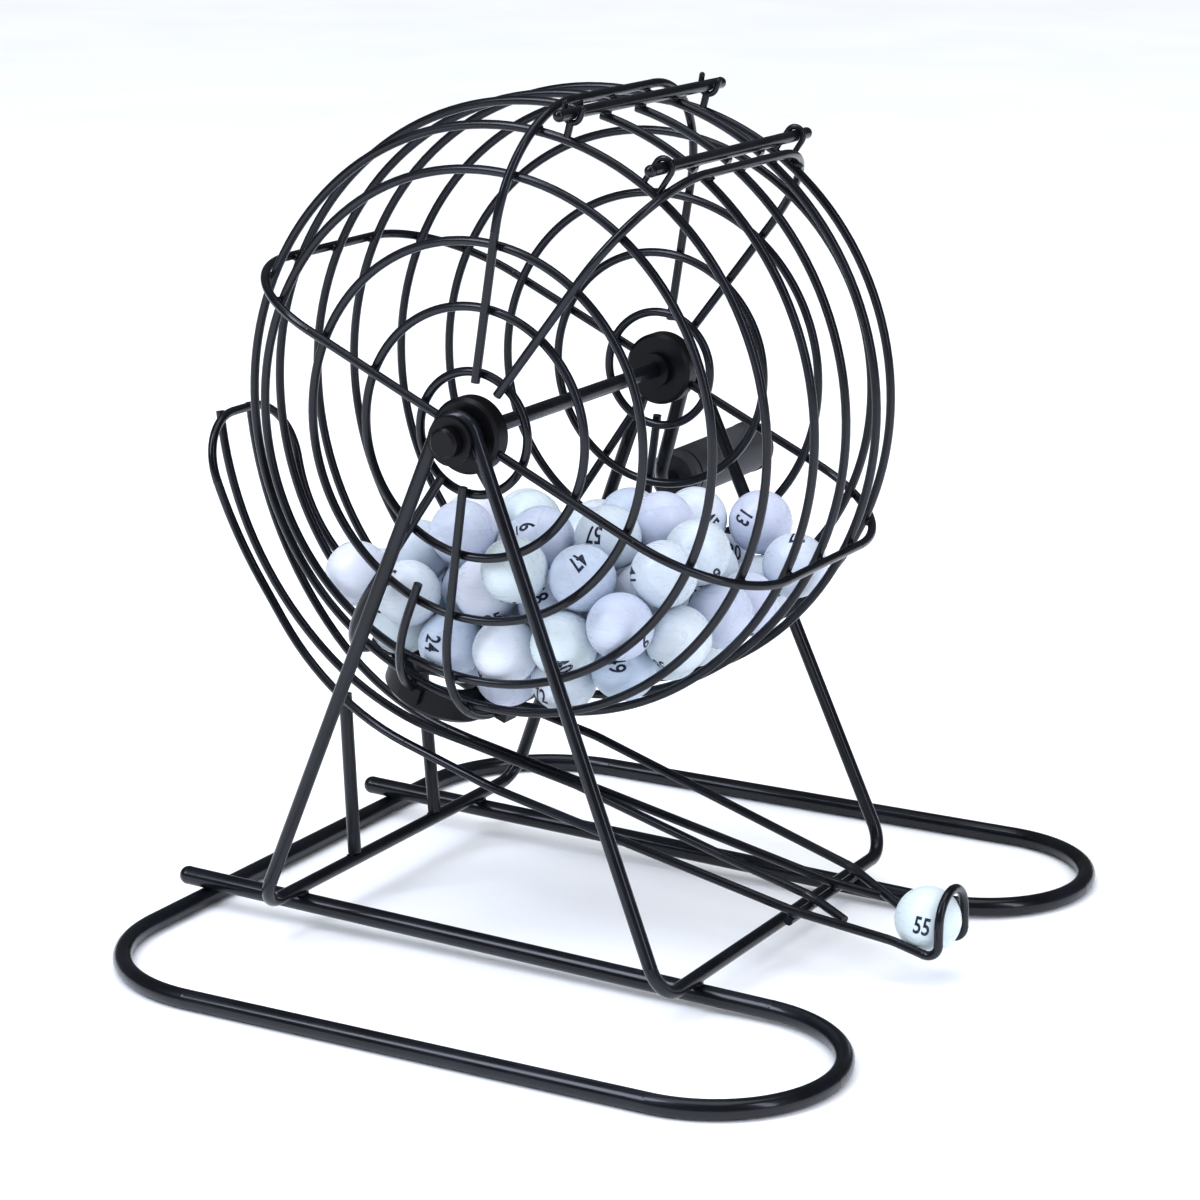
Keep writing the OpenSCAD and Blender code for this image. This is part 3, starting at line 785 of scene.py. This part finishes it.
def holder(node, rod, opens_outwards):
    """A bent wire on a shoulder ring: a staple over the hinge rod, or a latch rod's cradle."""
    low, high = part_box(node)
    rod_low, rod_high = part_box(rod)
    ring = node.split("_")[-1] + "_shoulder_ring"
    ring_low, ring_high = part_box(ring)
    ring_wire = (ring_high.x - ring_low.x) / 2
    axle = (ring_high.z + ring_low.z) / 2
    ring_top = (ring_high.z - ring_low.z) / 2
    rod_r = (rod_high.z - rod_low.z) / 2
    rod_y, rod_z = (rod_low.y + rod_high.y) / 2, (rod_low.z + rod_high.z) / 2
    place = np.array([(low.x + high.x) / 2, rod_y, rod_z])
    outward = unit([0, place[1], place[2] - axle])
    forward = np.cross([1, 0, 0], outward)
    rise = np.linalg.norm(place[1:] - [0, axle])
    bend_r = rod_r + holder_r + rod_gap
    foot = ring_top - ring_bite * ring_wire - rise
    half_turn = np.linspace(0, math.pi, 25)
    pile = Pile()
    if opens_outwards:
        lip = lip_rise * rod_r
        splay = arm_splay * holder_r
        arc = [(-math.cos(t) * bend_r, -math.sin(t) * bend_r) for t in half_turn]
        arms = np.linspace(0, 1, 5)[1:]
        flat = [(-bend_r - splay * a, lip * a) for a in arms[::-1]] + arc
        flat += [(bend_r + splay * a, lip * a) for a in arms]
        stem = np.linspace(foot, -bend_r, 9)
        pile.add(*tube([place + outward * h for h in stem], post_r))
    else:
        arc = [(-math.cos(t) * bend_r, math.sin(t) * bend_r) for t in half_turn]
        legs = np.linspace(foot, 0, 9)[:-1]
        flat = [(-bend_r, h) for h in legs] + arc + [(bend_r, h) for h in legs[::-1]]
    pile.add(*tube([place + forward * a + outward * b for a, b in flat], holder_r))
    piece = pile.build(node + "_wire", weld_enamel, "cage", "black_wire")
    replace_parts(piece, node)


for hand in ("left", "right"):
    holder("hinge_eye_" + hand, "door_hinge_rod", False)
    holder("latch_clip_" + hand, "door_latch_rod", True)

# ---------------------------------------------------------------- floor, light, camera

floor_mesh = bpy.data.meshes.new("floor")
floor_half = 9.0
floor_sides = ((-1, -1), (1, -1), (1, 1), (-1, 1))
floor_corners = [(x * floor_half, y * floor_half, 0) for x, y in floor_sides]
floor_mesh.from_pydata(floor_corners, [], [(0, 1, 2, 3)])
floor_mesh.materials.append(paper_floor("studio_paper"))
floor = bpy.data.objects.new("floor", floor_mesh)
floor.location.z = -0.02 * MM  # just clear of the base wire
scene.collection.objects.link(floor)

world = bpy.data.worlds.new("studio")
world.use_nodes = True
scene.world = world
sky = world.node_tree.nodes["Background"]
sky.inputs["Color"].default_value = (0.97, 0.985, 1.0, 1)
sky_strength, reflected_strength = 1.0, 0.10  # the studio's walls are dark in reflections
rays = world.node_tree.nodes.new("ShaderNodeLightPath")
strength = world.node_tree.nodes.new("ShaderNodeMapRange")
strength.inputs["To Min"].default_value = sky_strength
strength.inputs["To Max"].default_value = reflected_strength
world.node_tree.links.new(rays.outputs["Is Glossy Ray"], strength.inputs["Value"])
world.node_tree.links.new(strength.outputs["Result"], sky.inputs["Strength"])


def softbox(name, place, target, width, height, watts, colour):
    """A rectangular lamp that faces the target."""
    lamp = bpy.data.lights.new(name, "AREA")
    lamp.shape = "RECTANGLE"
    lamp.size, lamp.size_y = width, height
    lamp.energy, lamp.color = watts, colour
    box = bpy.data.objects.new(name, lamp)
    box.location = place
    box.rotation_mode = "QUATERNION"
    box.rotation_quaternion = (Vector(place) - Vector(target)).to_track_quat("Z", "Y")
    scene.collection.objects.link(box)


aim = Vector(camera_target)
softboxes = (
    ("key", back * 0.7 - side * 0.9 + head * 0.9, 0.4, 1.0, 10, (0.80, 0.85, 1.0)),
    ("strip", back * 1.0 + side * 0.8 + head * 0.4, 0.22, 1.1, 4.5, (0.82, 0.82, 1.0)),
    ("top", (0, 0, 1.3), 1.0, 1.0, 5, (0.93, 0.95, 1.0)),
)
for name, offset, width, height, watts, colour in softboxes:
    softbox(name, aim + Vector(offset), aim, width, height, watts, colour)

sensor_mm, lens_mm = 36, 102
nearest, farthest = 0.05, 30
camera = bpy.data.objects.new("camera", bpy.data.cameras.new("camera"))
camera.data.sensor_width, camera.data.lens = sensor_mm, lens_mm
camera.data.clip_start, camera.data.clip_end = nearest, farthest
camera.location = camera_target + back * camera_distance
camera.rotation_mode = "QUATERNION"
camera.rotation_quaternion = Vector(back).to_track_quat("Z", "Y")
scene.collection.objects.link(camera)
scene.camera = camera
scene.view_settings.view_transform = "Standard"
scene.view_settings.look = "Medium High Contrast"
